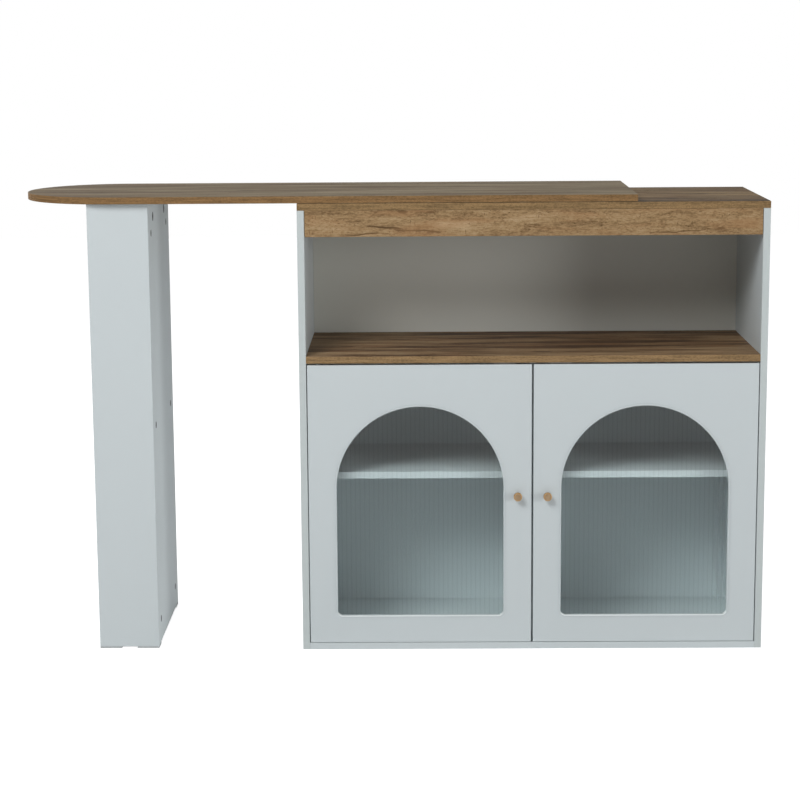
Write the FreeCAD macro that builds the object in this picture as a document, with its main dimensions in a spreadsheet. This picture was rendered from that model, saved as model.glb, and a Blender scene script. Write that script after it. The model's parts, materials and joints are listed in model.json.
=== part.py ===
import FreeCAD, Part
import math
import os
from types import SimpleNamespace
from Sketcher import Constraint

# A kitchen island: a white cabinet with two arched glass doors, an open bay and a wood-tone top,
# and a wood-tone table board on one box leg, which turns about an upright pin in the cabinet's top.
# Millimetres. +X to the right, +Y to the back, +Z up. The origin lies on the floor under the pin.

doc = FreeCAD.newDocument("kitchen_island")
sheet = doc.addObject("Spreadsheet::Sheet", "Sizes")

DIMENSIONS = {
    # Cabinet
    "cabinet_width": 1000,        # over the two side panels
    "cabinet_depth": 400,         # side panels, top and table board
    "side_height": 960,           # floor to the underside of the cabinet's top
    "panel": 15,                  # thickness of the cabinet's and the leg's boards
    "counter_height": 648,        # floor to the upper face of the counter shelf
    "counter_thickness": 15,
    "apron_height": 56,
    "apron_gap": 1,               # joint beside the apron
    "back_recess": 20,            # back panels' rear faces from the side panels' rear edges
    "edge_round": 0.8,            # rounding of the edge bands
    "inner_shelf_top": 387,       # floor to the upper face of the shelves behind the doors
    "inner_shelf_setback": 45,    # shelves' front edges from the cabinet's front
    "shelf_play": 1,              # each end of a loose shelf
    # Doors
    "door_gap": 2,                # joint beside a door
    "door_gap_above": 4,
    "door_gap_below": 1,
    "door_split": 4,              # joint between the doors
    "window_width": 360,
    "window_sill": 60,            # door's lower edge to the window
    "window_side": 282,           # straight side of the window, below its half-round head
    "window_corner": 10,
    "window_bead": 3.5,           # raised edge between the window and the groove round it
    "window_groove_width": 2.5,
    "window_groove_depth": 0.8,
    "window_round": 2.5,
    "glass_thickness": 5,
    "glass_lap": 8,               # glass behind the frame, all round
    "glass_play": 1,
    "reed_pitch": 10,
    "reed_depth": 1.2,
    "clip_length": 16,
    "clip_width": 12,
    "clip_thickness": 1.5,
    "clip_hold": 6,               # how far a clip reaches over the glass
    "knob_diameter": 18,
    "knob_neck": 10,
    "knob_length": 20,
    "knob_head": 11,
    "knob_blend": 2,              # half the slope from the neck to the head
    "knob_round": 1.6,
    "knob_inset": 30,             # from the door's free edge
    "knob_rise": 327,             # from the door's lower edge
    "magnet_offset": 60,          # catches from the cabinet's middle
    "magnet_width": 46,
    "magnet_height": 13,
    "magnet_depth": 16,
    "magnet_screw_offset": 16.56,
    "magnet_screw_bite": 9,
    "strike_width": 32,
    "strike_height": 10,
    "strike_thickness": 1,
    "catch_gap": 0.4,             # magnet to strike plate
    # Hinges, measured inwards from the side panel's face and backwards from the front
    "hinge_inset": 100,           # from the door's upper and lower edges
    "cup_radius": 17.5,
    "cup_depth": 11.5,
    "cup_edge": 5,                # door edge to the cup
    "cup_wall": 1,
    "cup_flange_width": 36,
    "cup_flange_height": 60,
    "cup_screw_offset": 24,
    "nose_side": 12.5,
    "nose_back": 18,
    "nose_radius": 2.6,
    "link_bend_side": 19,
    "link_bend_back": 25.5,
    "link_end_side": 36.3,
    "link_end_back": 7,
    "link_half": 1.2,
    "link_thickness": 1.5,
    "arm_width": 12,
    "arm_back": 72,               # rear end of the hinge arm
    "arm_height": 12,             # its rise from the side panel
    "arm_shoulder": 18,           # slope behind the nose
    "plate_height": 52,
    "plate_thickness": 4,
    "plate_front": 30,
    "plate_screw_inset": 7,
    "plate_screw_offset": 18.2,
    "pin_radius": 1.25,
    "running_play": 0.05,
    # Swivel
    "table_reach": 1100,          # pin to the round end of the table board
    "table_tail": 220,            # pin to its square end
    "table_thickness": 15,
    "table_lift": 0.6,            # glides hold the table this far off the cabinet's top
    "glide_radius": 15,
    "glide_thickness": 2,
    "glide_offset": 120,          # from the pin, along and across the table board
    "stud_radius": 6,
    "stud_flange_radius": 40,
    "stud_flange_thickness": 3,
    "stud_screw_offset": 20,
    "bush_radius": 9,
    "bush_flange_radius": 20,
    "bush_flange_thickness": 2,
    "washer_radius": 15,
    "washer_thickness": 2,
    "nut_width": 19,
    "nut_height": 11,
    "stud_tip": 4,                # thread below the nut
    # Leg
    "leg_reach": 882,             # pin to the middle of the leg
    "leg_width": 130,
    "leg_inset": 15,              # leg's front and rear from the table's edges
    "felt_thickness": 4,
    "felt_width": 48,
    "felt_depth": 40,
    # Fixings
    "cam_radius": 7.5,
    "big_cam_radius": 10,
    "cam_depth": 12.5,
    "cam_setback": 34,            # cam's middle from the end of its board
    "cam_cross": 7,
    "cam_slot": 1.4,
    "bolt_radius": 3,
    "bolt_bite": 11,
    "peg_radius": 4,
    "peg_length": 28,
    "peg_bite": 9,
    "peg_offset": 32,
    "fixing_inset": 60,
    "leg_cam_edge": 50,           # lowest and highest leg cams from the ends of the leg
    "leg_top_cam": 85,            # upper cams from the leg's front and rear
    "shelf_pin_radius": 2.5,
    "shelf_pin_length": 16,
    "shelf_pin_inset": 45,
    "divider_pin_bite": 6,
    "shelf_hole_pitch": 32,
    "screw_radius": 1.75,
    "screw_head_radius": 3.5,
    "screw_head_height": 2,
    "screw_length": 12,
    "clip_screw_length": 8,
    "knob_screw_bite": 9,
    "knob_screw_head": 4.2,
    "fit_play": 0.2,
}


class Size:
    """A length that carries its number and its formula in the sheet."""

    def __init__(self, value, text=None):
        self.value = float(value)
        self.text = text or f"({value})"

    def __add__(self, other):
        other = as_size(other)
        return Size(self.value + other.value, f"({self.text} + {other.text})")

    def __sub__(self, other):
        other = as_size(other)
        return Size(self.value - other.value, f"({self.text} - {other.text})")

    def __mul__(self, other):
        other = as_size(other)
        return Size(self.value * other.value, f"({self.text} * {other.text})")

    def __truediv__(self, other):
        other = as_size(other)
        return Size(self.value / other.value, f"({self.text} / {other.text})")

    def __radd__(self, other):
        return as_size(other) + self

    def __rsub__(self, other):
        return as_size(other) - self

    def __neg__(self):
        return self * -1

    __rmul__ = __mul__


def as_size(number):
    return number if isinstance(number, Size) else Size(number)


for row, (alias, number) in enumerate(DIMENSIONS.items(), start=1):
    sheet.set(f"A{row}", alias)
    sheet.set(f"B{row}", str(number))
    sheet.setAlias(f"B{row}", alias)
doc.recompute()
s = SimpleNamespace(**{alias: Size(number, f"Sizes.{alias}") for alias, number in DIMENSIONS.items()})

# ---------------------------------------------------------------- shapes

TURNS = {
    "+X": FreeCAD.Rotation(FreeCAD.Vector(0, 1, 0), 90),
    "-X": FreeCAD.Rotation(FreeCAD.Vector(0, 1, 0), -90),
    "+Y": FreeCAD.Rotation(FreeCAD.Vector(1, 0, 0), -90),
    "-Y": FreeCAD.Rotation(FreeCAD.Vector(1, 0, 0), 90),
    "+Z": FreeCAD.Rotation(),
    "-Z": FreeCAD.Rotation(FreeCAD.Vector(1, 0, 0), 180),
}
NEAR = 0.01                       # lengths that differ by less are the same
nodes = {}                        # finished sub-parts by name
bores = {}                        # holes that fixings need, by the board they go in


def bind(obj, name, length):
    """Tie one property to its formula."""
    obj.setExpression(name, as_size(length).text)


def place(obj, at, towards="+Z"):
    """Put an object's own origin at a point and turn its own Z towards an axis."""
    corner = FreeCAD.Vector(*[as_size(part).value for part in at])
    obj.Placement = FreeCAD.Placement(corner, TURNS[towards])
    for axis, part in zip("xyz", at):
        bind(obj, f"Placement.Base.{axis}", part)
    return obj


def shifted(at, towards, distance):
    """The point that lies a distance from another along an axis."""
    sign = 1 if towards[0] == "+" else -1
    return tuple(part + sign * distance if axis == towards[1] else part for axis, part in zip("XYZ", at))


def block(size, at=(0, 0, 0)):
    """A plain cuboid from its lowest corner."""
    box = doc.addObject("Part::Box", "Block")
    for name, length in zip(("Length", "Width", "Height"), size):
        bind(box, name, length)
    return place(box, at)


def rod(radius, length, at, towards="+Z"):
    """A plain cylinder from the middle of its first end."""
    cylinder = doc.addObject("Part::Cylinder", "Rod")
    bind(cylinder, "Radius", radius)
    bind(cylinder, "Height", length)
    return place(cylinder, at, towards)


def joined(shapes):
    """One solid from shapes that overlap."""
    union = doc.addObject("Part::MultiFuse", "Joined")
    union.Shapes = shapes
    union.Refine = True
    return union


def together(shapes):
    """Separate solids kept as one object."""
    group = doc.addObject("Part::Compound", "Together")
    group.Links = shapes
    return group


def without(base, tools):
    """A shape with other shapes taken out of it."""
    cut = doc.addObject("Part::Cut", "Without")
    cut.Base = base
    cut.Tool = tools[0] if len(tools) == 1 else together(tools)
    return cut


def rounded(base, radius, wanted):
    """Round the edges that a test picks."""
    doc.recompute()
    fillet = doc.addObject("Part::Fillet", "Rounded")
    fillet.Base = base
    picked = [index for index, edge in enumerate(base.Shape.Edges, start=1) if wanted(edge.BoundBox)]
    fillet.Edges = [(index, radius.value, radius.value) for index in picked]
    return fillet


def board(size, at):
    """A panel with its edge bands rounded."""
    return rounded(block(size, at), s.edge_round, lambda bounds: True)


def node(name, shape):
    """Name a finished sub-part, with the holes that its fixings need."""
    if name in bores:
        shape = without(shape, bores[name])
    shape.Label = name
    nodes[name] = shape


def sketch_on(body, role):
    """A sketch on one of a body's own origin planes."""
    sketch = body.newObject("Sketcher::SketchObject", "Profile")
    plane = [part for part in body.Origin.OriginFeatures if part.Role == role][0]
    sketch.AttachmentSupport = (plane, [""])
    sketch.MapMode = "FlatFace"
    return sketch


def pin_point(sketch, edge, end, across, up):
    """Hold one end of a sketched edge at its place."""
    for kind, axis, length in (("DistanceX", -2, across), ("DistanceY", -1, up)):
        length = as_size(length)
        if abs(length.value) < NEAR:
            sketch.addConstraint(Constraint("PointOnObject", edge, end, axis))
            continue
        index = sketch.addConstraint(Constraint(kind, -1, 1, edge, end, length.value))
        sketch.setExpression(f"Constraints[{index}]", length.text)


def polygon(sketch, points):
    """A closed outline of straight edges through points."""
    corners = [FreeCAD.Vector(as_size(across).value, as_size(up).value, 0) for across, up in points]
    for start, finish in zip(corners, corners[1:] + corners[:1]):
        sketch.addGeometry(Part.LineSegment(start, finish), False)
    for edge in range(len(points)):
        sketch.addConstraint(Constraint("Coincident", edge, 2, (edge + 1) % len(points), 1))
        pin_point(sketch, edge, 1, *points[edge])


def turned(points):
    """A body turned about its own Z, from a half outline of radius and height."""
    body = doc.addObject("PartDesign::Body", "Turned")
    sketch = sketch_on(body, "XZ_Plane")
    polygon(sketch, points)
    lathe = body.newObject("PartDesign::Revolution", "Revolution")
    lathe.Profile = sketch
    lathe.ReferenceAxis = (sketch, ["V_Axis"])
    lathe.Angle = 360
    body.Tip = lathe
    return body


def pressed(points, height):
    """A body of even height from its outline in X and Y."""
    body = doc.addObject("PartDesign::Body", "Pressed")
    sketch = sketch_on(body, "XY_Plane")
    polygon(sketch, points)
    pad = body.newObject("PartDesign::Pad", "Pad")
    pad.Profile = sketch
    bind(pad, "Length", height)
    body.Tip = pad
    return body


def arch(half, side, corner, depth, at):
    """A slab with an upright arched outline, going back from the middle of its lower edge."""
    body = doc.addObject("PartDesign::Body", "Arch")
    sketch = sketch_on(body, "XZ_Plane")
    wide, high, small = half.value, side.value, corner.value
    upright = FreeCAD.Vector(0, 0, 1)
    corners = [(corner - half, 0), (half - corner, 0), (half, corner),
               (half, side), (-half, side), (-half, corner)]
    spots = [FreeCAD.Vector(as_size(across).value, as_size(up).value, 0) for across, up in corners]
    right_bend = Part.Circle(FreeCAD.Vector(wide - small, small, 0), upright, small)
    head = Part.Circle(FreeCAD.Vector(0, high, 0), upright, wide)
    left_bend = Part.Circle(FreeCAD.Vector(small - wide, small, 0), upright, small)
    outline = [
        Part.LineSegment(spots[0], spots[1]),
        Part.ArcOfCircle(right_bend, -math.pi / 2, 0),
        Part.LineSegment(spots[2], spots[3]),
        Part.ArcOfCircle(head, 0, math.pi),
        Part.LineSegment(spots[4], spots[5]),
        Part.ArcOfCircle(left_bend, math.pi, 1.5 * math.pi),
    ]
    for edge in outline:
        sketch.addGeometry(edge, False)
    for edge in range(len(outline)):
        sketch.addConstraint(Constraint("Coincident", edge, 2, (edge + 1) % len(outline), 1))
        pin_point(sketch, edge, 1, *corners[edge])
    for edge, kind, length in ((1, "DistanceX", half - corner), (3, "DistanceY", side),
                               (5, "DistanceX", corner - half)):
        index = sketch.addConstraint(Constraint(kind, -1, 1, edge, 3, length.value))
        sketch.setExpression(f"Constraints[{index}]", length.text)
    pad = body.newObject("PartDesign::Pad", "Pad")
    pad.Profile = sketch
    pad.Reversed = True
    bind(pad, "Length", depth)
    body.Tip = pad
    return place(body, at)


def reeded(count, pitch, rise, thickness, height):
    """A sheet with upright round reeds side by side on its front, about the middle of its lower edge."""
    body = doc.addObject("PartDesign::Body", "Reeded")
    sketch = sketch_on(body, "XY_Plane")
    left = -count * pitch / 2
    radius = (pitch * pitch / 4 + rise * rise) / (rise * 2)
    corners = [(left + reed * pitch, rise) for reed in range(count + 1)]
    corners += [(-left, thickness), (left, thickness)]
    spots = [FreeCAD.Vector(across.value, up.value, 0) for across, up in corners]
    for start, finish in zip(spots[:count], spots[1:]):
        crest = FreeCAD.Vector((start.x + finish.x) / 2, 0, 0)
        sketch.addGeometry(Part.Arc(start, crest, finish), False)
    for start, finish in zip(spots[count:], spots[count + 1:] + spots[:1]):
        sketch.addGeometry(Part.LineSegment(start, finish), False)
    for edge in range(len(spots)):
        sketch.addConstraint(Constraint("Coincident", edge, 2, (edge + 1) % len(spots), 1))
        pin_point(sketch, edge, 1, *corners[edge])
    for reed in range(count):
        index = sketch.addConstraint(Constraint("DistanceY", -1, 1, reed, 3, radius.value))
        sketch.setExpression(f"Constraints[{index}]", radius.text)
    pad = body.newObject("PartDesign::Pad", "Pad")
    pad.Profile = sketch
    bind(pad, "Length", height)
    body.Tip = pad
    return body


# ---------------------------------------------------------------- fixings

def screw(at, into, length, head_radius=s.screw_head_radius):
    """A pan-head screw whose head stands on the surface at a point."""
    body = turned([
        (0, -s.screw_head_height),
        (head_radius, -s.screw_head_height),
        (head_radius, 0),
        (s.screw_radius, 0),
        (s.screw_radius, length),
        (0, length),
    ])
    return place(body, at, into)


def screw_hole(at, into, length):
    """The pilot hole for a screw, a little past its tip."""
    return rod(s.screw_radius + s.fit_play, length + s.fit_play, at, into)


def bore(names, hole):
    """Note a hole that goes into one or more boards."""
    for name in names:
        bores.setdefault(name, []).append(hole)


def cam_fixing(own, mate, at, into, out, kit, radius=s.cam_radius):
    """A cam lock sunk in a board's face, and its bolt through that board's end into the next one.

    at is on the face over the cam's middle, into points into the board and out along the bolt.
    """
    barrel = rod(radius, s.cam_depth, (0, 0, 0))
    bars = [(s.cam_cross, s.cam_slot), (s.cam_slot, s.cam_cross)]
    cross = [block((wide, deep, s.cam_slot), (-wide / 2, -deep / 2, 0)) for wide, deep in bars]
    kit["cams"].append(place(without(barrel, cross), at, into))
    core = shifted(at, into, s.panel / 2)
    start = shifted(core, out, radius + s.fit_play)
    reach = s.cam_setback - radius - s.fit_play + s.bolt_bite
    kit["bolts"].append(rod(s.bolt_radius, reach, start, out))
    bore([own], rod(radius + s.fit_play, s.cam_depth + s.fit_play, at, into))
    bore([own, mate], rod(s.bolt_radius + s.fit_play, s.cam_setback + s.bolt_bite + s.fit_play, core, out))


def peg_fixing(own, mate, end, out, kit):
    """A wooden peg across a joint: end is on the joint, out points from one board to the other."""
    start = shifted(end, out, s.peg_bite - s.peg_length)
    kit["pegs"].append(rod(s.peg_radius, s.peg_length, start, out))
    hole_start = shifted(start, out, -s.fit_play)
    bore([own, mate], rod(s.peg_radius + s.fit_play, s.peg_length + 2 * s.fit_play, hole_start, out))


# ---------------------------------------------------------------- lines that the cabinet is set out from

half_width = s.cabinet_width / 2
half_depth = s.cabinet_depth / 2
inner_half = half_width - s.panel
inner_width = s.cabinet_width - 2 * s.panel
front = -half_depth
counter_under = s.counter_height - s.counter_thickness
back_front = half_depth - s.back_recess - s.panel
boards_depth = s.cabinet_depth - s.back_recess
top_of_cabinet = s.side_height + s.panel
shelf_under = s.inner_shelf_top - s.panel
cabinet_kit = {"cams": [], "bolts": [], "pegs": []}
SIDES = (("left", -1, "-X", "+X"), ("right", 1, "+X", "-X"))

# ---------------------------------------------------------------- cabinet fixings

for side, sign, outwards, inwards in SIDES:
    side_panel = f"side_panel_{side}"
    cam_x = sign * (inner_half - s.cam_setback)
    end_x = sign * inner_half

    # Bottom panel and counter shelf: cams from below, pegs beside them
    for name, under, thickness in (("bottom_panel", 0, s.panel),
                                   ("counter_shelf", counter_under, s.counter_thickness)):
        for y, step in ((front + s.fixing_inset, 1), (back_front - s.fixing_inset, -1)):
            cam_fixing(name, side_panel, (cam_x, y, under), "+Z", outwards, cabinet_kit)
            peg_y = y + step * s.peg_offset
            peg_fixing(name, side_panel, (end_x, peg_y, under + thickness / 2), outwards, cabinet_kit)

    # Top: cams in the side panels' inner faces, under the top and behind the apron
    for y in (front + s.fixing_inset, half_depth - s.fixing_inset):
        cam_fixing(side_panel, "cabinet_top", (end_x, y, s.side_height - s.cam_setback), outwards, "+Z",
                   cabinet_kit)

    # Apron: one cam in its rear face at each end
    apron_cam_x = sign * (inner_half - s.apron_gap - s.cam_setback)
    apron_middle = s.side_height - s.apron_height / 2
    cam_fixing("front_apron", side_panel, (apron_cam_x, front + s.panel, apron_middle), "-Y", outwards,
               cabinet_kit)

    # Back panels: cams in their rear faces
    for name, low, high in (("back_panel_lower", s.panel, counter_under),
                            ("back_panel_upper", s.counter_height, s.side_height)):
        for z in (low + s.fixing_inset, high - s.fixing_inset):
            cam_fixing(name, side_panel, (cam_x, back_front + s.panel, z), "-Y", outwards, cabinet_kit)

# The divider stands on pegs between the bottom panel and the counter shelf
for y in (front + s.fixing_inset + s.peg_offset, back_front - s.fixing_inset - s.peg_offset):
    peg_fixing("centre_divider", "bottom_panel", (0, y, s.panel), "-Z", cabinet_kit)
    peg_fixing("centre_divider", "counter_shelf", (0, y, counter_under), "+Z", cabinet_kit)

# Shelf pins, and the spare holes above and below them
shelf_pins = []
pin_z = shelf_under - s.shelf_pin_radius
for side, sign, outwards, inwards in SIDES:
    for wall, wall_x, towards in ((f"side_panel_{side}", sign * inner_half, inwards),
                                  ("centre_divider", sign * s.panel / 2, outwards)):
        hole_depth = s.divider_pin_bite if wall == "centre_divider" else s.shelf_pin_length / 2
        for y in (front + s.inner_shelf_setback + s.shelf_pin_inset, back_front - s.shelf_pin_inset):
            start = shifted((wall_x, y, pin_z), towards, -hole_depth)
            shelf_pins.append(rod(s.shelf_pin_radius, hole_depth + s.shelf_pin_length / 2, start, towards))
            for step in (-1, 0, 1):
                hole = (wall_x, y, pin_z + step * s.shelf_hole_pitch)
                bore([wall], rod(s.shelf_pin_radius + s.fit_play / 2, hole_depth + s.fit_play,
                                 shifted(hole, towards, -hole_depth - s.fit_play), towards))

# ---------------------------------------------------------------- swivel

stud_top = top_of_cabinet + s.table_lift
bush_seat = stud_top - s.bush_flange_thickness
stud_bottom = s.side_height - s.washer_thickness - s.catch_gap - s.nut_height - s.stud_tip
flange_top = stud_top + s.stud_flange_thickness

stud = turned([
    (0, 0),
    (s.stud_radius, 0),
    (s.stud_radius, stud_top - stud_bottom),
    (s.stud_flange_radius, stud_top - stud_bottom),
    (s.stud_flange_radius, flange_top - stud_bottom),
    (0, flange_top - stud_bottom),
])
bore(["table_board"], rod(s.stud_flange_radius + s.fit_play, s.stud_flange_thickness + s.fit_play,
                          (0, 0, stud_top)))
flange_screws = []
for sign_x, sign_y in ((-1, -1), (-1, 1), (1, -1), (1, 1)):
    spot = (sign_x * s.stud_screw_offset, sign_y * s.stud_screw_offset, stud_top)
    sunk = turned([
        (0, 0),
        (s.screw_head_radius, 0),
        (s.screw_radius, s.screw_head_height),
        (s.screw_radius, s.screw_length),
        (0, s.screw_length),
    ])
    flange_screws.append(place(sunk, spot, "+Z"))
    bore(["pivot_stud", "table_board"], screw_hole(spot, "+Z", s.screw_length))
    seat = turned([
        (0, 0),
        (s.screw_head_radius + s.fit_play, 0),
        (s.screw_radius + s.fit_play, s.screw_head_height),
        (0, s.screw_head_height),
    ])
    bore(["pivot_stud"], place(seat, spot, "+Z"))
node("pivot_stud", place(stud, (0, 0, stud_bottom)))
node("pivot_flange_screws", together(flange_screws))

washer_top = s.side_height - s.catch_gap
nut_top = washer_top - s.washer_thickness
washer = turned([
    (s.stud_radius + s.fit_play, 0),
    (s.washer_radius, 0),
    (s.washer_radius, s.washer_thickness),
    (s.stud_radius + s.fit_play, s.washer_thickness),
])
node("pivot_washer", place(washer, (0, 0, nut_top)))

nut_at = (0, 0, nut_top - s.nut_height)
nut_reach = s.nut_width / 2 / math.cos(math.pi / 6)
nut_turns = [math.pi * turn / 3 for turn in range(6)]
hexagon = [(nut_reach * math.cos(turn), nut_reach * math.sin(turn)) for turn in nut_turns]
nut_bore = rod(s.stud_radius + s.running_play, s.nut_height, nut_at)
node("pivot_nut", without(place(pressed(hexagon, s.nut_height), nut_at), [nut_bore]))

bush_inside = s.stud_radius + s.running_play
bush_low = s.side_height
bush = turned([
    (bush_inside, 0),
    (s.bush_radius, 0),
    (s.bush_radius, bush_seat - bush_low),
    (s.bush_flange_radius, bush_seat - bush_low),
    (s.bush_flange_radius, stud_top - bush_low),
    (bush_inside, stud_top - bush_low),
])
node("pivot_bushing", place(bush, (0, 0, bush_low)))
bore(["cabinet_top"], rod(s.bush_radius + s.fit_play / 2, s.panel, (0, 0, s.side_height)))
bore(["cabinet_top"], rod(s.bush_flange_radius + s.fit_play, s.bush_flange_thickness, (0, 0, bush_seat)))

# Glides sunk in the table board's underside, which slide on the cabinet's top
glides = []
for sign_x in (-1, 1):
    for sign_y in (-1, 1):
        x, y = sign_x * s.glide_offset, sign_y * s.glide_offset
        glides.append(rod(s.glide_radius, s.glide_thickness, (x, y, top_of_cabinet)))
        bore(["table_board"], rod(s.glide_radius + s.fit_play, s.glide_thickness - s.table_lift,
                                  (x, y, stud_top)))
node("table_glides", together(glides))

# ---------------------------------------------------------------- table leg

leg_left = -s.leg_reach - s.leg_width / 2
leg_right = -s.leg_reach + s.leg_width / 2
leg_front = front + s.leg_inset
leg_rear = half_depth - s.leg_inset
leg_depth = s.cabinet_depth - 2 * s.leg_inset
leg_height = stud_top - s.felt_thickness
leg_kit = {"cams": [], "bolts": [], "pegs": []}
top_kit = {"cams": [], "bolts": leg_kit["bolts"], "pegs": []}
leg_sides = (("leg_side_panel_outer", leg_left, "+X"), ("leg_side_panel_inner", leg_right, "-X"))

for name, face_x, into in leg_sides:
    for z in (s.felt_thickness + s.leg_cam_edge, s.felt_thickness + leg_height / 2,
              stud_top - s.leg_cam_edge - s.cam_setback / 2):
        for mate, y, out in (("leg_front_panel", leg_front + s.panel + s.cam_setback, "-Y"),
                             ("leg_rear_panel", leg_rear - s.panel - s.cam_setback, "+Y")):
            cam_fixing(name, mate, (face_x, y, z), into, out, leg_kit)
    for y in (leg_front + s.leg_top_cam, leg_rear - s.leg_top_cam):
        cam_fixing(name, "table_board", (face_x, y, stud_top - s.cam_setback), into, "+Z", top_kit,
                   radius=s.big_cam_radius)

side_depth = leg_depth - 2 * s.panel
node("leg_side_panel_outer", board((s.panel, side_depth, leg_height),
                                   (leg_left, leg_front + s.panel, s.felt_thickness)))
node("leg_side_panel_inner", board((s.panel, side_depth, leg_height),
                                   (leg_right - s.panel, leg_front + s.panel, s.felt_thickness)))
node("leg_front_panel", board((s.leg_width, s.panel, leg_height), (leg_left, leg_front, s.felt_thickness)))
node("leg_rear_panel", board((s.leg_width, s.panel, leg_height),
                             (leg_left, leg_rear - s.panel, s.felt_thickness)))
node("leg_cam_locks", together(leg_kit["cams"]))
node("leg_top_cam_locks", together(top_kit["cams"]))
node("leg_cam_bolts", together(leg_kit["bolts"]))

pads = []
for x in (leg_left, leg_right - s.felt_width):
    for y in (leg_front, leg_rear - s.felt_depth):
        pads.append(block((s.felt_width, s.felt_depth, s.felt_thickness), (x, y, 0)))
node("leg_felt_pads", together(pads))

# ---------------------------------------------------------------- table board

round_centre = half_depth - s.table_reach
slab = joined([
    block((s.table_tail - round_centre, s.cabinet_depth, s.table_thickness),
          (round_centre, front, stud_top)),
    rod(half_depth, s.table_thickness, (round_centre, 0, stud_top)),
])
node("table_board", rounded(slab, s.edge_round, lambda bounds: bounds.ZLength < NEAR))

# ---------------------------------------------------------------- hinges and doors

hinge_plates, hinge_arms, hinge_screws, hinge_pins, magnets, magnet_screws = [], [], [], [], [], []
door_width = (inner_width - 2 * s.door_gap - s.door_split) / 2
door_low = s.panel + s.door_gap_below
door_height = counter_under - s.door_gap_above - door_low
cup_side = s.door_gap + s.cup_edge + s.cup_radius
window_middle = s.door_gap + door_width / 2
window_low = door_low + s.window_sill
frame_back = front + s.panel
hinge_heights = (door_low + s.hinge_inset, door_low + door_height - s.hinge_inset)
glass_half = s.window_width / 2 + s.glass_lap
reed_count = math.ceil(2 * glass_half.value / s.reed_pitch.value) + 2

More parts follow.
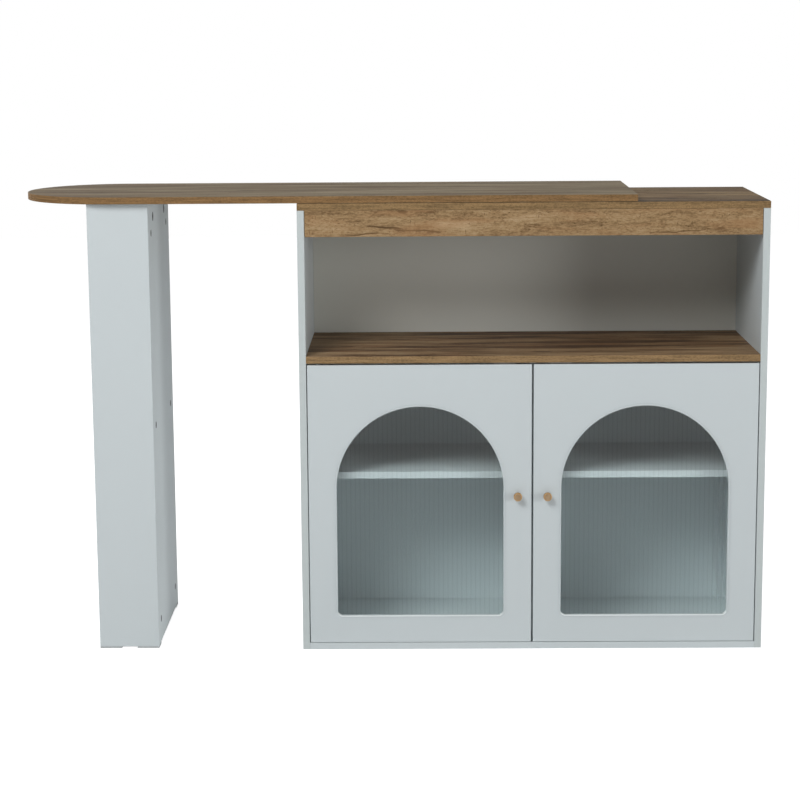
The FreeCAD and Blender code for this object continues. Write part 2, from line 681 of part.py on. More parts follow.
for side, sign, outwards, inwards in SIDES:

    def across(distance):
        """X of a point that lies inwards of this side panel's inner face."""
        return sign * (inner_half - distance)

    def spread(first, last, y_low, z_low, deep, high):
        """A cuboid between two distances from this side panel's inner face."""
        start = across(last) if sign > 0 else across(first)
        return block((last - first, deep, high), (start, y_low, z_low))

    panel_name = f"{side}_door_panel"
    cups, cup_screws, links = [], [], []
    for height in hinge_heights:
        # Cup in the door, with a flange that two screws hold
        cup = turned([
            (0, 0),
            (s.cup_radius, 0),
            (s.cup_radius, s.cup_depth),
            (s.cup_radius - s.cup_wall, s.cup_depth),
            (s.cup_radius - s.cup_wall, s.cup_wall),
            (0, s.cup_wall),
        ])
        cup_floor = (across(cup_side), frame_back - s.cup_depth, height)
        place(cup, cup_floor, "+Y")
        flange = without(
            spread(cup_side - s.cup_flange_width / 2 + s.cup_wall, cup_side + s.cup_flange_width / 2,
                   frame_back, height - s.cup_flange_height / 2, s.cup_wall, s.cup_flange_height),
            [rod(s.cup_radius - s.cup_wall, s.cup_wall, (across(cup_side), frame_back, height), "+Y")])
        bore([panel_name], rod(s.cup_radius + s.fit_play, s.cup_depth + s.fit_play,
                               (across(cup_side), frame_back - s.cup_depth - s.fit_play, height), "+Y"))
        holes = []
        for step in (-1, 1):
            spot = (across(cup_side), frame_back + s.cup_wall, height + step * s.cup_screw_offset)
            cup_screws.append(screw(spot, "-Y", s.screw_length))
            hole = screw_hole(spot, "-Y", s.screw_length)
            holes.append(hole)
            bore([panel_name], hole)
        cups.append(without(joined([cup, flange]), holes))

        # Plate on the side panel, arm with its nose over the cup, and the pin through the nose
        plate = spread(0, s.plate_thickness, front + s.plate_front, height - s.plate_height / 2,
                       s.arm_back - s.plate_front - s.screw_head_radius, s.plate_height)
        plate_holes = []
        for step in (-1, 1):
            spot = (across(s.plate_thickness), front + s.plate_front + s.plate_screw_inset,
                    height + step * s.plate_screw_offset)
            hinge_screws.append(screw(spot, outwards, s.screw_length))
            hole = screw_hole(spot, outwards, s.screw_length)
            plate_holes.append(hole)
            bore([f"side_panel_{side}"], hole)
        hinge_plates.append(without(plate, plate_holes))

        arm_points = [
            (s.plate_thickness, s.arm_back),
            (s.plate_thickness, s.nose_back + s.arm_height),
            (s.nose_side - s.nose_radius, s.nose_back),
            (s.nose_side + s.nose_radius, s.nose_back),
            (s.arm_height, s.nose_back + s.arm_shoulder),
            (s.arm_height, s.arm_back),
        ]
        outline = [(across(point), front + back) for point, back in arm_points]
        arm_low = height - s.arm_width / 2
        body = place(pressed(outline, s.arm_width), (0, 0, arm_low))
        nose = (across(s.nose_side), front + s.nose_back, arm_low)
        eye = rod(s.pin_radius + s.fit_play, s.arm_width, nose)
        hinge_arms.append(without(joined([body, rod(s.nose_radius, s.arm_width, nose)]), [eye]))
        pin_half = s.arm_width / 2 + s.fit_play + s.link_thickness
        hinge_pins.append(rod(s.pin_radius, 2 * pin_half, (nose[0], nose[1], height - pin_half)))

        # Link: two cranked cheeks on the nose pin, and a cross pin that works in the cup
        crank = ((s.nose_side, s.nose_back), (s.link_bend_side, s.link_bend_back),
                 (s.link_end_side, s.link_end_back))
        end_x, end_y = across(s.link_end_side), front + s.link_end_back
        bend_x, bend_y = across(s.link_bend_side), front + s.link_bend_back
        parts = [rod(s.link_half, 2 * pin_half, (end_x, end_y, height - pin_half))]
        for low in (height - pin_half, height + pin_half - s.link_thickness):
            parts.append(rod(s.nose_radius, s.link_thickness, (nose[0], nose[1], low)))
            parts.append(rod(s.link_half, s.link_thickness, (bend_x, bend_y, low)))
            for start, finish in zip(crank, crank[1:]):
                run = (finish[0].value - start[0].value, finish[1].value - start[1].value)
                length = math.hypot(*run)
                lean = (s.link_half * (-run[1] / length), s.link_half * (run[0] / length))
                strap = [(end[0] + turn * lean[0], end[1] + turn * lean[1])
                         for end, turn in ((start, 1), (start, -1), (finish, -1), (finish, 1))]
                outline = [(across(point), front + back) for point, back in strap]
                parts.append(place(pressed(outline, s.link_thickness), (0, 0, low)))
        eye = rod(s.pin_radius + s.running_play, 2 * pin_half, (nose[0], nose[1], height - pin_half))
        links.append(without(joined(parts), [eye]))

    # Door frame: window with a bead and a groove round it, rebate for the glass behind it
    window_at = (across(window_middle), front, window_low)
    leaf = spread(s.door_gap, s.door_gap + door_width, front, door_low, s.panel, door_height)
    leaf = rounded(leaf, s.edge_round, lambda bounds: bounds.YMax < front.value + NEAR)
    groove_out = s.window_bead + s.window_groove_width
    rings = [arch(s.window_width / 2 + reach, s.window_side + reach, s.window_corner + reach,
                  s.window_groove_depth, (window_at[0], front, window_low - reach))
             for reach in (groove_out, s.window_bead)]
    rebate_at = (window_at[0], frame_back - s.glass_thickness, window_low - s.glass_lap)
    frame = without(leaf, [
        arch(s.window_width / 2, s.window_side, s.window_corner, s.panel, window_at),
        without(rings[0], rings[1:]),
    ])
    low_z = window_low.value - NEAR
    reach = s.window_width.value / 2 + NEAR
    middle = across(window_middle).value

    def on_lip(bounds):
        inside = abs(bounds.XMin - middle) < reach and abs(bounds.XMax - middle) < reach
        flush = abs(bounds.YMin - front.value) < NEAR and bounds.YLength < NEAR
        return flush and inside and bounds.ZMin > low_z

    frame = rounded(frame, s.window_round, on_lip)
    rebate = arch(glass_half, s.window_side + s.glass_lap, s.window_corner, s.glass_thickness, rebate_at)
    bore([panel_name], rebate)

    # Reeded glass: round ridges from top to bottom on its front
    pane_at = (window_at[0], frame_back - s.glass_thickness, window_low - s.glass_lap + s.glass_play)
    pane = arch(glass_half - s.glass_play, s.window_side + s.glass_lap - s.glass_play, s.window_corner,
                s.glass_thickness, pane_at)
    reeds = reeded(reed_count, s.reed_pitch, s.reed_depth, s.glass_thickness,
                   s.window_side + s.glass_lap + glass_half)
    glass = doc.addObject("Part::MultiCommon", "Glass")
    glass.Shapes = [pane, place(reeds, pane_at)]
    node(f"{side}_door_glass", glass)

    # Clips that hold the glass in its rebate
    clips, clip_screws = [], []
    clip_spots = []
    for share in (0.4, 0.9):
        clip_level = window_low + s.window_side * share
        for edge in (-1, 1):
            clip_spots.append((edge, 0, window_middle + edge * glass_half, clip_level))
    clip_spots.append((0, -1, window_middle, window_low - s.glass_lap))
    clip_spots.append((0, 1, window_middle, window_low + s.window_side + glass_half))
    for edge_x, edge_z, distance, z in clip_spots:
        half = s.clip_length / 2
        push = half - s.clip_hold
        clip_x = distance + edge_x * push
        clip_z = z + edge_z * push
        half_x, half_z = (half, s.clip_width / 2) if edge_x else (s.clip_width / 2, half)
        plate = spread(clip_x - half_x, clip_x + half_x, frame_back, clip_z - half_z,
                       s.clip_thickness, 2 * half_z)
        spot = (across(clip_x + edge_x * half / 2), frame_back + s.clip_thickness,
                clip_z + edge_z * half / 2)
        hole = screw_hole(spot, "-Y", s.clip_screw_length)
        clips.append(without(plate, [hole]))
        clip_screws.append(screw(spot, "-Y", s.clip_screw_length))
        bore([panel_name], hole)

    # Knob and the screw that holds it from behind
    knob_x = across(s.door_gap + door_width - s.knob_inset)
    knob_z = door_low + s.knob_rise
    neck_end = s.knob_length - s.knob_head
    knob = turned([
        (0, 0),
        (s.knob_neck / 2, 0),
        (s.knob_neck / 2, neck_end - s.knob_blend),
        (s.knob_diameter / 2, neck_end + s.knob_blend),
        (s.knob_diameter / 2, s.knob_length),
        (0, s.knob_length),
    ])
    place(knob, (knob_x, front, knob_z), "-Y")
    crown = front.value - s.knob_length.value
    knob = rounded(knob, s.knob_round, lambda bounds: bounds.YMax < crown + NEAR)
    screw_span = s.panel + s.knob_screw_bite
    knob_back = (knob_x, frame_back, knob_z)
    hole = screw_hole(knob_back, "-Y", screw_span)
    bore([panel_name, f"{side}_door_knob"], hole)
    node(f"{side}_door_knob", knob)
    node(f"{side}_knob_screw", screw(knob_back, "-Y", screw_span, head_radius=s.knob_screw_head))

    # Magnetic catch under the counter shelf, and the plate it pulls on
    magnet_x = sign * s.magnet_offset
    magnet_y = frame_back + s.strike_thickness + s.catch_gap
    magnets.append(block((s.magnet_width, s.magnet_depth, s.magnet_height),
                         (magnet_x - s.magnet_width / 2, magnet_y, counter_under - s.magnet_height)))
    magnet_hole = []
    for step in (-1, 1):
        spot = (magnet_x + step * s.magnet_screw_offset, magnet_y + s.magnet_depth / 2,
                counter_under - s.magnet_height)
        length = s.magnet_height + s.magnet_screw_bite
        magnet_screws.append(screw(spot, "+Z", length))
        hole = screw_hole(spot, "+Z", length)
        magnet_hole.append(hole)
        bore(["counter_shelf"], hole)
    magnets[-1] = without(magnets[-1], magnet_hole)
    strike_z = door_low + door_height - s.strike_height - s.edge_round
    strike = block((s.strike_width, s.strike_thickness, s.strike_height),
                   (magnet_x - s.strike_width / 2, frame_back, strike_z))

    node(panel_name, frame)
    node(f"{side}_hinge_cups", together(cups))
    node(f"{side}_hinge_cup_screws", together(cup_screws))
    node(f"{side}_hinge_links", together(links))
    node(f"{side}_glass_clips", together(clips))
    node(f"{side}_glass_clip_screws", together(clip_screws))
    node(f"{side}_strike_plate", strike)

node("hinge_plates", together(hinge_plates))
node("hinge_arms", together(hinge_arms))
node("hinge_plate_screws", together(hinge_screws))
node("hinge_pins", together(hinge_pins))
node("magnet_catches", together(magnets))
node("magnet_catch_screws", together(magnet_screws))

# ---------------------------------------------------------------- cabinet boards

for side, sign, outwards, inwards in SIDES:
    corner = -half_width if sign < 0 else inner_half
    node(f"side_panel_{side}", board((s.panel, s.cabinet_depth, s.side_height), (corner, front, 0)))
    shelf_width = inner_half - s.panel / 2 - 2 * s.shelf_play
    shelf_x = s.shelf_play - inner_half if sign < 0 else s.panel / 2 + s.shelf_play
    shelf_depth = back_front - front - s.inner_shelf_setback - s.shelf_play
    node(f"inner_shelf_{side}", board((shelf_width, shelf_depth, s.panel),
                                      (shelf_x, front + s.inner_shelf_setback, shelf_under)))

node("bottom_panel", board((inner_width, boards_depth, s.panel), (-inner_half, front, 0)))
node("counter_shelf", board((inner_width, boards_depth, s.counter_thickness),
                            (-inner_half, front, counter_under)))
divider_front = frame_back + s.cup_wall + s.screw_head_height + s.clip_thickness
node("centre_divider", board((s.panel, back_front - divider_front, counter_under - s.panel),
                             (-s.panel / 2, divider_front, s.panel)))
node("back_panel_lower", board((inner_width, s.panel, counter_under - s.panel),
                               (-inner_half, back_front, s.panel)))
node("back_panel_upper", board((inner_width, s.panel, s.side_height - s.counter_height),
                               (-inner_half, back_front, s.counter_height)))
node("cabinet_top", board((s.cabinet_width, s.cabinet_depth, s.panel), (-half_width, front, s.side_height)))
node("front_apron", board((inner_width - 2 * s.apron_gap, s.panel, s.apron_height),
                          (s.apron_gap - inner_half, front, s.side_height - s.apron_height)))
node("shelf_pins", together(shelf_pins))
node("cabinet_cam_locks", together(cabinet_kit["cams"]))
node("cabinet_cam_bolts", together(cabinet_kit["bolts"]))
node("cabinet_wood_pegs", together(cabinet_kit["pegs"]))

# ---------------------------------------------------------------- checks and files

doc.recompute()
for obj in doc.Objects:
    if "Invalid" in obj.State or "Error" in obj.State:
        raise RuntimeError(f"{obj.Name} ({obj.Label}) did not compute: {obj.State}")
os.makedirs("parts", exist_ok=True)
for name, obj in nodes.items():
    shape = obj.Shape
    if shape.isNull() or not shape.isValid() or not shape.Solids:
        raise RuntimeError(f"{name} has no valid solid")
for name, obj in nodes.items():
    obj.Shape.exportStep(f"parts/{name}.step")
    print(f"{name}: {len(obj.Shape.Solids)} solid(s), {obj.Shape.Volume / 1000:.1f} cm3")
print(len(nodes), "nodes")
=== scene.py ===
import bmesh
import bpy
import json
from mathutils import Matrix, Vector


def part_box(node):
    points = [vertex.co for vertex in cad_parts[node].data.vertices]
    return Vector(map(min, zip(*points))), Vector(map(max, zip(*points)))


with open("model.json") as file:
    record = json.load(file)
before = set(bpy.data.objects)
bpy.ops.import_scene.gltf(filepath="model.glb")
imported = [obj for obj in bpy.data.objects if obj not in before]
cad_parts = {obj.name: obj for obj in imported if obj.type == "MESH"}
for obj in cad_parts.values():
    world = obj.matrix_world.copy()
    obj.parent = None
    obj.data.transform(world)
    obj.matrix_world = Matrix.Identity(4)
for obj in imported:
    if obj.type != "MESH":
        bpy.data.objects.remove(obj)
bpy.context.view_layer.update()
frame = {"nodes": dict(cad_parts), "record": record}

# ------------------------------------------------------------ studio
# A white photo studio: a pale floor that runs past the view, a large soft lamp high on the left in
# front, weaker ones low on the right and behind on the left, and a world that lights the object
# dimly but shows white behind it and in its gloss.

scene = bpy.context.scene
scene.view_settings.view_transform = "Standard"

PITCH, YAW, ROLL = 0.1744, 0.0102, -0.0069
camera = bpy.data.objects.new("camera", bpy.data.cameras.new("camera"))
camera.data.sensor_width = 36.0
camera.data.lens = 95.66
camera.data.clip_start = 0.05
looking_ahead = Matrix(((1, 0, 0), (0, 0, -1), (0, 1, 0)))
right, down, forward = (Matrix.Rotation(ROLL, 3, "Z") @ Matrix.Rotation(PITCH, 3, "X")
                        @ Matrix.Rotation(YAW, 3, "Y") @ looking_ahead)
camera.matrix_world = Matrix((right, -down, -forward)).transposed().to_4x4()
camera.location = (-0.2387, -4.6854, 1.3438)
scene.collection.objects.link(camera)
scene.camera = camera


def soft_lamp(name, place, aim, size, power):
    """A round white lamp, in metres and watts."""
    lamp = bpy.data.lights.new(name, "AREA")
    lamp.shape = "DISK"
    lamp.size = size
    lamp.energy = power
    holder = bpy.data.objects.new(name, lamp)
    holder.location = place
    holder.rotation_euler = (Vector(aim) - Vector(place)).to_track_quat("-Z", "Y").to_euler()
    scene.collection.objects.link(holder)


soft_lamp("key_lamp", place=(-1.9, -3.1, 3.2), aim=(-0.2, 0.0, 0.5), size=2.0, power=98)
soft_lamp("fill_lamp", place=(3.4, -2.6, 1.0), aim=(-0.1, 0.0, 0.6), size=1.2, power=45)
soft_lamp("back_lamp", place=(-3.2, 2.8, 2.2), aim=(-0.2, 0.2, 0.5), size=2.0, power=40)


class Tone:
    """A value that changes over a surface. Sums and products of tones add their own Math nodes."""

    def __init__(self, shop, socket):
        self.shop, self.socket = shop, socket

    def work(self, operation, other=0.0):
        return self.shop.tone("ShaderNodeMath", {"operation": operation}, {0: self, 1: other})

    def __add__(self, other):
        return self.work("ADD", other)

    def __sub__(self, other):
        return self.work("SUBTRACT", other)

    def __mul__(self, other):
        return self.work("MULTIPLY", other)

    def __truediv__(self, other):
        return self.work("DIVIDE", other)

    def __pow__(self, other):
        return self.work("POWER", other)

    def __abs__(self):
        return self.work("ABSOLUTE")

    def __rsub__(self, other):
        return self * -1.0 + other

    __radd__, __rmul__ = __add__, __mul__

    def fold(self, length):
        """Up and down between 0 and length."""
        return self.work("PINGPONG", length)

    def least(self, other):
        return self.work("MINIMUM", other)

    def most(self, other):
        return self.work("MAXIMUM", other)

    def between(self, low, high):
        """0 below low, 1 above high, with a smooth rise between them."""
        return self.shop.tone("ShaderNodeMapRange", {"interpolation_type": "SMOOTHSTEP"},
                              {"Value": self, "From Min": low, "From Max": high}, "Result")


class Shop:
    """A node tree, emptied, and the ways to put nodes in it."""

    def __init__(self, tree):
        self.tree = tree
        tree.nodes.clear()

    def add(self, kind, settings=(), sockets=()):
        """Any node: its settings first, then values or links for its sockets."""
        node = self.tree.nodes.new(kind)
        for name, value in dict(settings).items():
            if name == "stops":
                while len(node.color_ramp.elements) < len(value):
                    node.color_ramp.elements.new(1.0)
                for stop, (position, colour) in zip(node.color_ramp.elements, value):
                    stop.position, stop.color = position, (*colour, 1.0)
            else:
                setattr(node, name, value)
        for name, value in dict(sockets).items():
            self.feed(node, name, value)
        return node

    def feed(self, node, name, value):
        """A value or a link for one socket of a node."""
        value = value.socket if isinstance(value, Tone) else value
        if isinstance(value, bpy.types.NodeSocket):
            self.tree.links.new(value, node.inputs[name])
        elif isinstance(value, tuple) and len(value) == 3 and node.inputs[name].type == "RGBA":
            node.inputs[name].default_value = (*value, 1.0)
        else:
            node.inputs[name].default_value = value

    def tone(self, kind, settings=(), sockets=(), output=0):
        return Tone(self, self.add(kind, settings, sockets).outputs[output])

    def direct(self):
        """1 for what the camera sees itself, in a gloss or through glass, and 0 after a matt bounce."""
        path = self.add("ShaderNodeLightPath").outputs
        camera_ray, glossy, through, bounces = [
            Tone(self, path[name]) for name in
            ("Is Camera Ray", "Is Glossy Ray", "Is Transmission Ray", "Diffuse Depth")]
        return camera_ray.most(glossy).most(through) - bounces


class Finish(Shop):
    """A material. Its constants go on the shader's own sockets, with _ for a space."""

    def __init__(self, name, **constants):
        self.material = bpy.data.materials.new(name)
        self.material.use_nodes = True
        super().__init__(self.material.node_tree)
        self.body = self.add("ShaderNodeBsdfPrincipled")
        self.set(**constants)
        self.output = self.add("ShaderNodeOutputMaterial", {}, {"Surface": self.body.outputs[0]})
        self.place = self.add("ShaderNodeTexCoord").outputs

    def set(self, **values):
        for key, value in values.items():
            self.feed(self.body, key.replace("_", " "), value)

    def bump(self, height, distance):
        raised = self.add("ShaderNodeBump", {}, {"Height": height, "Distance": distance})
        self.feed(self.body, "Normal", raised.outputs[0])

    def spots(self, scale, detail=3.0, stretch=(1.0, 1.0, 1.0), shift=(0.0, 0.0, 0.0), rough=0.5,
              place=None):
        """Noise from 0 to 1 in the piece's own metres."""
        spread = self.add("ShaderNodeMapping", {}, {
            "Vector": place or self.place["Object"], "Scale": stretch, "Location": shift})
        return self.tone("ShaderNodeTexNoise", {}, {
            "Vector": spread.outputs[0], "Scale": scale, "Detail": detail, "Roughness": rough}, "Fac")

    def mix(self, first, second, share):
        """A colour that goes from first to second as share goes from 0 to 1."""
        node = self.add("ShaderNodeMix", {"data_type": "RGBA"}, {0: share})
        self.feed(node, 6, first)
        self.feed(node, 7, second)
        return node.outputs[2]

    def along(self):
        """The three coordinates of a point, in metres."""
        apart = self.add("ShaderNodeSeparateXYZ", {}, {0: self.place["Object"]})
        return [Tone(self, socket) for socket in apart.outputs]

    def facing(self):
        """The three parts of the direction that the surface faces."""
        apart = self.add("ShaderNodeSeparateXYZ", {}, {0: self.place["Normal"]})
        return [Tone(self, socket) for socket in apart.outputs]

    def edge_distance(self, low, high):
        """How far a point on a cuboid is from its nearest edge, in metres."""
        x, y, z = [(value - low[axis]).least(high[axis] - value)
                   for axis, value in enumerate(self.along())]
        return x.least(y).most(x.most(y).least(z))


PURE_WHITE = (1.0, 1.0, 1.0)
world = bpy.data.worlds.new("studio_white")
world.use_nodes = True
air = Shop(world.node_tree)
dim = air.add("ShaderNodeBackground", {}, {"Color": (0.95, 0.97, 1.0), "Strength": 0.22})
bright = air.add("ShaderNodeBackground", {}, {"Color": PURE_WHITE, "Strength": 1.0})
shown = air.add("ShaderNodeMixShader", {}, {
    0: air.direct(), 1: dim.outputs[0], 2: bright.outputs[0]})
air.add("ShaderNodeOutputWorld", {}, {"Surface": shown.outputs[0]})
scene.world = world

FLOOR_REACH = 9.0
bm = bmesh.new()
bmesh.ops.create_grid(bm, x_segments=1, y_segments=1, size=FLOOR_REACH)
floor = bpy.data.objects.new("floor", bpy.data.meshes.new("floor"))
bm.to_mesh(floor.data)
bm.free()
scene.collection.objects.link(floor)
paint = Finish("floor_paint", Base_Color=(0.86, 0.86, 0.86), Roughness=0.9, Specular_IOR_Level=0.0)
glow = paint.add("ShaderNodeEmission", {}, {"Color": PURE_WHITE, "Strength": 0.84})
glowing = paint.add("ShaderNodeAddShader", {}, {0: paint.body.outputs[0], 1: glow.outputs[0]})
shown = paint.add("ShaderNodeMixShader", {}, {
    0: paint.direct(), 1: paint.body.outputs[0], 2: glowing.outputs[0]})
paint.feed(paint.output, "Surface", shown.outputs[0])
floor.data.materials.append(paint.material)

# ------------------------------------------------------------ white boards
# Particle board faced with satin white foil, edged with thin bands that are glued on and trimmed:
# side panels, bottom, divider, backs, loose shelves and the four boards of the leg. The door frames
# are cut from one board, foil over all, with a bead and groove round the window.

WHITE = (0.612, 0.664, 0.676)
# Painted shade: a greyer white for the inner shelves, standing in for the shade inside the cabinet
# behind the doors.
SHELF_WHITE_PAINTED_SHADE = (0.535, 0.570, 0.580)
SIDE_BAND_WHITE = (0.560, 0.610, 0.606)
BAY_CREAM = (0.640, 0.640, 0.585)
# Painted highlight: a lighter white for the up-facing slope of the bead round each window.
BEAD_PAINTED_HIGHLIGHT = (0.86, 0.90, 0.90)
GLUE_GREY = (0.36, 0.38, 0.38)
GLUE_INSET, GLUE_HALF_WIDTH = 0.0009, 0.00025


def shade(colour, factor):
    return tuple(min(part * factor, 1.0) for part in colour)


def off_glue(edge):
    """0 on the glue line under an edge band, 1 away from it."""
    return abs(edge - GLUE_INSET).between(0.0, GLUE_HALF_WIDTH)


def rubbed_edge(finish, edge, near, far, scale, bare, worn):
    """Patches of wear between a board's edge and near to far metres from it."""
    return (1.0 - edge.between(near, far)) * finish.spots(scale, 4.0).between(bare, worn)


def wear(name, finish):
    """Give a CAD node its finish."""
    part = frame["nodes"][name]
    part.data.materials.clear()
    part.data.materials.append(finish.material)


def white_foil(name, white=WHITE, front=None, banded=True):
    """front is the colour of what looks to the front, where it isn't the board's white."""
    low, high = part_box(name)
    foil = Finish(f"white_foil_{name}", Specular_IOR_Level=0.25)
    clouds = foil.spots(2.3, 2.0, shift=(low.x, low.z, 0.0))
    speck = foil.spots(900.0, 2.0)
    tone = foil.mix(white, shade(white, 0.98), clouds)
    if front:
        tone = foil.mix(tone, front, (foil.facing()[1] * -1.0).between(0.3, 0.7))
    if banded:
        edge = foil.edge_distance(low, high)
        rubbed = rubbed_edge(foil, edge, 0.0004, 0.003, scale=60.0, bare=0.45, worn=0.75)
        tone = foil.mix(tone, shade(white, 1.1), rubbed * 0.5)
        tone = foil.mix(GLUE_GREY, tone, 0.55 + off_glue(edge) * 0.45)
    else:
        # Painted highlight: the bead's slope, which looks partly up, gets a lighter white; the sill of
        # the window, which looks straight up, is left out.
        up = foil.facing()[2]
        bead = up.between(0.2, 0.4) * (1.0 - up.between(0.90, 0.97))
        tone = foil.mix(tone, BEAD_PAINTED_HIGHLIGHT, bead)
    foil.set(Base_Color=tone, Roughness=0.46 + speck * 0.08 + clouds * 0.05)
    foil.bump(foil.spots(420.0, 2.0) * 0.6 + speck * 0.4, 0.00005)
    wear(name, foil)


for name in ("bottom_panel", "centre_divider", "back_panel_lower", "leg_front_panel",
             "leg_rear_panel", "leg_side_panel_inner", "leg_side_panel_outer"):
    white_foil(name)
for side in ("left", "right"):
    white_foil(f"side_panel_{side}", front=SIDE_BAND_WHITE)
    # Painted shade: the inner shelves get the greyer white.
    white_foil(f"inner_shelf_{side}", white=SHELF_WHITE_PAINTED_SHADE)
    white_foil(f"{side}_door_panel", banded=False)
white_foil("back_panel_upper", front=BAY_CREAM)

# ------------------------------------------------------------ wood-tone boards
# Particle board faced with a printed rustic oak foil, grain along the length: the table board, the
# cabinet's top, the counter shelf and the apron. The edge bands carry a plainer, warmer print.

# Length and width of each kind of mark, in metres.
WANDER, KNOT_RIM, WAVER = (0.40, 0.08), (0.016, 0.004), (0.05, 0.4)
YEAR_RING, BLUSH, PORE_PATCH = (0.80, 0.085), (0.16, 0.022), (0.10, 0.03)
SPLIT, SPLIT_PATCH = (0.0022, 0.016), (0.09, 0.6)
BAND_STREAK, BAND_FLECK = (0.09, 0.0045), (0.0065, 0.0026)

# How far the grain and the streaks stray sideways, in metres.
WANDER_DEPTH, WAVER_DEPTH = 0.030, 0.016
# How many times its own width a knot is long, and how far it pushes the grain aside.
KNOT_LENGTH, KNOT_PUSH, KNOT_DARKNESS = 3.5, 0.9, 0.45
RING_COUNT = 12.0
# Painted light: where along x the broad faces start and stop getting lighter towards the right, in
# metres.
PAINTED_LIGHT_FROM, PAINTED_LIGHT_TO = -0.75, 0.30


def oak(name, broad, colours, band, figure, pores, knots, veins=(), splits=0.0, rings=0.07, gloss=0.55,
        seed=0.0, painted_lightening=0.0):
    """The print of one board. broad is the axis that its wide faces look along; colours go from dark
    to light; figure and pores have the length, width and strength of their marks; knots are (x,
    across, size); veins are streaks (middle x, across, half length, half width, slope, darkness).
    Lengths are in metres. The last argument is painted light: how much lighter the broad faces are made
    towards the right, as if more light fell there."""
    low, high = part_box(name)
    wood = Finish(f"oak_{name}", Specular_IOR_Level=0.14)
    x, y, z = wood.along()
    across = y if broad == 2 else z

    def flat_map(first, second):
        return wood.add("ShaderNodeCombineXYZ", {}, {"X": first, "Y": second}).outputs[0]

    def grain(flow, mark, shift, detail=2.0, rough=0.5):
        """Noise whose marks are this long and wide. shift picks a part of the noise for each kind."""
        length, width = mark
        return wood.spots(1.0, detail, stretch=(1 / length, 1 / width, 1.0), rough=rough, place=flow,
                          shift=(shift + seed, shift * 1.7, seed))

    straight = flat_map(x, across)
    bend = (grain(straight, WANDER, 3.1) - 0.5) * WANDER_DEPTH
    ragged = (grain(straight, KNOT_RIM, 5.8, detail=3.0, rough=0.7) - 0.5) * 1.8
    hearts = 0.0
    for knot_x, knot_across, size in knots:
        near = ((x - knot_x) / (size * KNOT_LENGTH)) ** 2.0 + ((across - knot_across) / size) ** 2.0
        bend = bend + (1.0 - near.between(0.0, 6.0)) * (size * KNOT_PUSH)
        hearts = 1.0 - (near + ragged).between(0.0, 1.2) + hearts
    flow = flat_map(x, across + bend)

    # Painted light: the level rises towards the right, so the broad faces get lighter there.
    level = x.between(PAINTED_LIGHT_FROM, PAINTED_LIGHT_TO) * painted_lightening + 0.5
    for order, (length, width, strength) in enumerate(figure):
        mark = grain(flow, (length, width), 1.3 + order * 2.6, detail=3.0, rough=0.6)
        level = (mark.between(0.32, 0.68) - 0.5) * strength + level
    ring = (grain(flow, YEAR_RING, 9.3, detail=1.0) * RING_COUNT).fold(0.5)
    level = level - (1.0 - ring.between(0.0, 0.22)) * rings - hearts * KNOT_DARKNESS

    waver = (grain(straight, WAVER, 5.2, detail=1.0) - 0.5) * WAVER_DEPTH
    for vein_x, vein_across, half_length, half_width, slope, darkness in veins:
        line = abs(across - (x - vein_x) * slope - vein_across + waver) / half_width
        reach = 1.0 - (abs(x - vein_x) / half_length).between(0.3, 1.0)
        level = level - (1.0 - line.between(0.2, 1.0)) * reach * darkness

    pore_length, pore_width, pore_strength = pores
    pore = grain(straight, (pore_length, pore_width), 7.7, detail=3.0, rough=0.6).between(0.60, 0.68)
    relief = pore * grain(straight, PORE_PATCH, 4.4).between(0.36, 0.58)
    level = level - relief * pore_strength
    if splits:
        split = (grain(straight, SPLIT, 6.6, detail=3.0).between(0.665, 0.70)
                 * grain(straight, SPLIT_PATCH, 2.2, detail=1.0).between(0.45, 0.6))
        level = level - split * splits
        relief = relief.most(split)

    dark, middle, light = colours
    tone = wood.add("ShaderNodeValToRGB", {"stops": [
        (0.0, shade(dark, 0.7)), (0.25, dark), (0.5, middle), (0.75, light),
        (1.0, shade(light, 1.25))]}, {0: level}).outputs[0]
    red, green, blue = middle
    blush = grain(flow, BLUSH, 8.8).between(0.45, 0.7)
    tone = wood.mix(tone, (red * 1.10, green * 0.92, blue * 0.86), blush * 0.45)

    ribbon = flat_map(x + y, z)
    streak = grain(ribbon, BAND_STREAK, 2.9, detail=3.0, rough=0.6).between(0.32, 0.68)
    fleck = grain(ribbon, BAND_FLECK, 6.1, detail=3.0, rough=0.6)
    band_tone = wood.mix(shade(band, 0.58), shade(band, 1.42),
                         streak * 0.50 + fleck.between(0.35, 0.65) * 0.52)
    band_tone = wood.mix(band_tone, shade(band, 0.30), fleck.between(0.60, 0.68) * 0.7)
    tone = wood.mix(band_tone, tone, abs(wood.facing()[broad]).between(0.55, 0.8))

    edge = wood.edge_distance(low, high)
    tone = wood.mix(shade(band, 0.5), tone, 0.6 + off_glue(edge) * 0.4)
    rubbed = rubbed_edge(wood, edge, 0.0003, 0.0016, scale=70.0, bare=0.42, worn=0.7)
    tone = wood.mix(tone, shade(light, 1.3), rubbed * 0.35)
    wood.set(Base_Color=tone, Roughness=gloss + relief * 0.2)
    wood.bump(1.0 - relief, 0.0002)
    wear(name, wood)


LOOKS_FRONT, LOOKS_UP = 1, 2
LONG_FIGURE = [(0.80, 0.095, 0.50), (0.45, 0.036, 0.50), (0.20, 0.011, 0.28), (0.08, 0.0030, 0.32)]
SHORT_FIGURE = [(0.22, 0.034, 0.20), (0.070, 0.013, 0.14), (0.016, 0.0055, 0.18), (0.007, 0.0028, 0.18)]

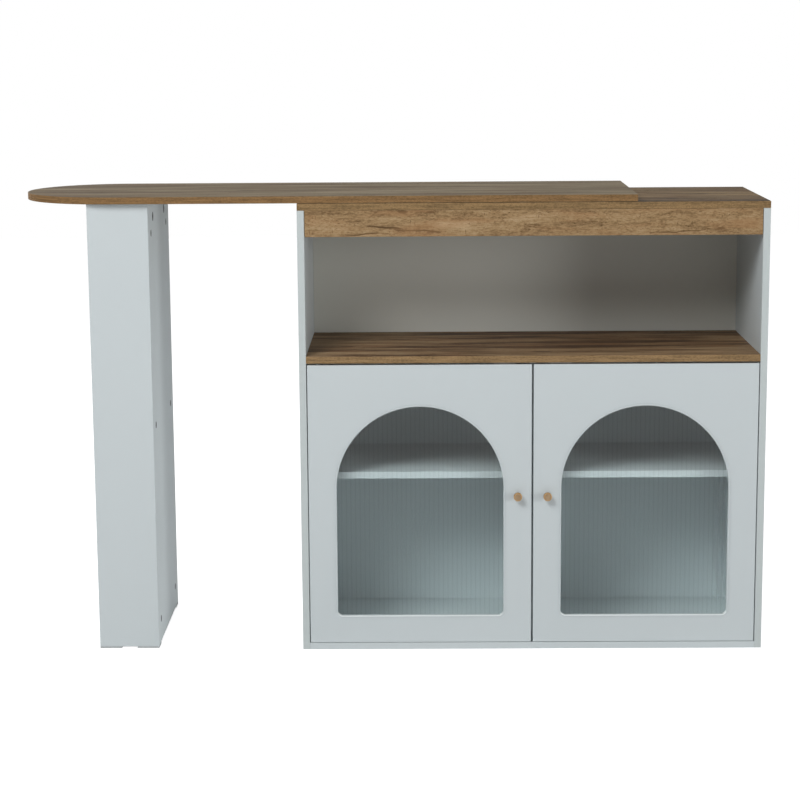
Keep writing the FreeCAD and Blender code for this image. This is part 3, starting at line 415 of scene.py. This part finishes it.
oak("front_apron", LOOKS_FRONT,
    colours=[(0.150, 0.087, 0.040), (0.320, 0.207, 0.101), (0.430, 0.302, 0.170)],
    band=(0.225, 0.138, 0.064), figure=SHORT_FIGURE, pores=(0.0080, 0.0024, 0.46),
    knots=[(-0.277, 0.9565, 0.0036), (-0.218, 0.9560, 0.0024), (0.395, 0.918, 0.0026)],
    veins=[(-0.315, 0.9235, 0.055, 0.0028, -0.09, 0.45), (-0.245, 0.9155, 0.065, 0.0024, -0.03, 0.40),
           (-0.360, 0.9105, 0.060, 0.0022, 0.02, 0.40), (0.310, 0.9115, 0.080, 0.0022, 0.04, 0.35),
           (-0.170, 0.9300, 0.060, 0.0120, 0.00, -0.32), (-0.020, 0.9400, 0.050, 0.0100, 0.03, -0.20)],
    splits=0.62, rings=0.02, gloss=0.6)
oak("counter_shelf", LOOKS_UP,
    colours=[(0.085, 0.046, 0.024), (0.255, 0.160, 0.084), (0.385, 0.262, 0.148)],
    band=(0.265, 0.170, 0.082), figure=LONG_FIGURE, pores=(0.014, 0.0040, 0.35),
    knots=[(0.02, -0.145, 0.008), (-0.40, -0.06, 0.005), (0.30, 0.02, 0.006)], seed=3.0)
oak("cabinet_top", LOOKS_UP,
    colours=[(0.040, 0.025, 0.013), (0.145, 0.094, 0.045), (0.245, 0.170, 0.088)],
    band=(0.245, 0.156, 0.072), figure=LONG_FIGURE, pores=(0.014, 0.0040, 0.30),
    knots=[(0.37, 0.00, 0.008), (0.30, -0.12, 0.004)], gloss=0.72, seed=6.4)
# The table board gets painted light: its top is made lighter towards the right.
oak("table_board", LOOKS_UP,
    colours=[(0.114, 0.082, 0.049), (0.172, 0.130, 0.077), (0.242, 0.197, 0.130)],
    band=(0.225, 0.130, 0.055), figure=LONG_FIGURE, pores=(0.014, 0.0040, 0.28),
    knots=[(-0.62, -0.03, 0.008), (-0.15, 0.08, 0.006), (0.08, -0.10, 0.005)],
    gloss=0.72, seed=9.0, painted_lightening=0.34)

# ------------------------------------------------------------ reeded glass
# A 5 mm pane behind each door frame, with round upright reeds on its front. The glass has the
# slight grey-green of float glass and lets the lamps through to the shelves.

REED_SPACING = 0.010
SHADOW_TINT = (0.86, 0.90, 0.895)
# Painted shade: the darker tint painted along the valleys between the reeds.
PAINTED_VALLEY_SHADE = (0.58, 0.63, 0.63)

for side in ("left", "right"):
    low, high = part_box(f"{side}_door_glass")
    glass = Finish(f"reeded_glass_{side}", Transmission_Weight=1.0, IOR=1.3, Specular_IOR_Level=0.1)
    from_middle = glass.along()[0] - (low.x + high.x) / 2
    # Painted shade: 0 along the valleys between the reeds and 1 on the reeds, so the valleys get dark
    # painted lines.
    off_painted_valley = (from_middle / REED_SPACING).fold(0.5).between(0.0, 0.16)
    tint = glass.mix((0.87, 0.910, 0.912), (0.84, 0.885, 0.887), glass.spots(6.0, 2.0))
    tint = glass.mix(PAINTED_VALLEY_SHADE, tint, 0.66 + off_painted_valley * 0.34)
    glass.set(Base_Color=tint, Roughness=glass.spots(30.0, 3.0) * 0.04 + 0.08)
    path = glass.add("ShaderNodeLightPath")
    open_way = glass.add("ShaderNodeBsdfTransparent", {}, {"Color": SHADOW_TINT})
    passed = glass.add("ShaderNodeMixShader", {}, {
        0: path.outputs["Is Shadow Ray"], 1: glass.body.outputs[0], 2: open_way.outputs[0]})
    glass.feed(glass.output, "Surface", passed.outputs[0])
    wear(f"{side}_door_glass", glass)

# ------------------------------------------------------------ knobs
# Turned brass knobs with a flat brushed face, a small round-over and a narrow neck, each held by one
# screw from behind the door.

RIM_START, RIM_FULL = 0.0068, 0.0082

for side in ("left", "right"):
    low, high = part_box(f"{side}_door_knob")
    brass = Finish(f"brushed_brass_{side}", Metallic=0.85)
    x, _, z = brass.along()
    out_x, out_z = x - (low.x + high.x) / 2, z - (low.z + high.z) / 2
    rim = ((out_x * out_x + out_z * out_z) ** 0.5).between(RIM_START, RIM_FULL)
    brushed = brass.spots(900.0, 3.0, stretch=(1.0, 4.0, 0.25))
    tarnish = brass.spots(160.0, 4.0).between(0.35, 0.7)
    face = brass.mix((0.290, 0.205, 0.124), (0.225, 0.150, 0.085), tarnish)
    brass.set(Base_Color=brass.mix(face, (0.40, 0.245, 0.105), rim), Roughness=0.42 + brushed * 0.16)
    brass.bump(brushed, 0.00003)
    wear(f"{side}_door_knob", brass)

# ------------------------------------------------------------ hinges and fixings
# Pressed, nickel-plated hinges, zinc-plated screws and bolts, dull die-cast cam locks, beech pegs,
# moulded catches, clips and glides, and grey felt under the leg.

FINE_RELIEF = 0.00003


def metal(name, bright, worn, roughness, metallic=1.0):
    plate = Finish(name, Metallic=metallic)
    cloud = plate.spots(300.0, 4.0, rough=0.6)
    drawn = plate.spots(900.0, 2.0, stretch=(1.0, 1.0, 0.2))
    plate.set(Base_Color=plate.mix(bright, worn, cloud.between(0.4, 0.75)),
              Roughness=roughness + drawn * 0.16)
    plate.bump(drawn * 0.6 + cloud * 0.4, FINE_RELIEF)
    return plate


def moulded(name, colour, roughness):
    plastic = Finish(name)
    cloud = plastic.spots(90.0, 3.0)
    plastic.set(Base_Color=plastic.mix(colour, shade(colour, 0.9), cloud),
                Roughness=roughness + cloud * 0.1)
    plastic.bump(plastic.spots(1400.0, 2.0), FINE_RELIEF)
    return plastic


peg_wood = Finish("beech_peg")
flutes = peg_wood.spots(400.0, 3.0, stretch=(0.2, 1.0, 1.0))
peg_wood.set(Base_Color=peg_wood.mix((0.60, 0.42, 0.25), (0.46, 0.30, 0.17), flutes.between(0.35, 0.7)),
             Roughness=0.7 + flutes * 0.1)
peg_wood.bump(flutes, 0.0002)

felt = Finish("pressed_felt", Sheen_Weight=0.4, Roughness=0.95)
fibre = felt.spots(1100.0, 5.0, rough=0.7)
felt.set(Base_Color=felt.mix((0.40, 0.42, 0.42), (0.62, 0.65, 0.65), fibre.between(0.35, 0.7)))
felt.bump(fibre, 0.0006)

finish_of_slot = {
    "nickel_steel": metal("nickel_plate", (0.62, 0.60, 0.56), (0.48, 0.46, 0.43), 0.22),
    "zinc_steel": metal("bright_zinc", (0.64, 0.66, 0.68), (0.50, 0.52, 0.54), 0.28),
    "zinc_cast": metal("die_cast_zinc", (0.040, 0.042, 0.042), (0.022, 0.023, 0.024), 0.6,
                       metallic=0.2),
    "white_plastic": moulded("catch_plastic", (0.80, 0.80, 0.78), 0.4),
    "clear_plastic": moulded("clip_plastic", (0.72, 0.74, 0.74), 0.25),
    "nylon": moulded("natural_nylon", (0.82, 0.80, 0.74), 0.45),
    "beech": peg_wood,
    "felt": felt}
for subpart in frame["record"]["subparts"]:
    if subpart["material_slot"] in finish_of_slot:
        wear(subpart["node"], finish_of_slot[subpart["material_slot"]])
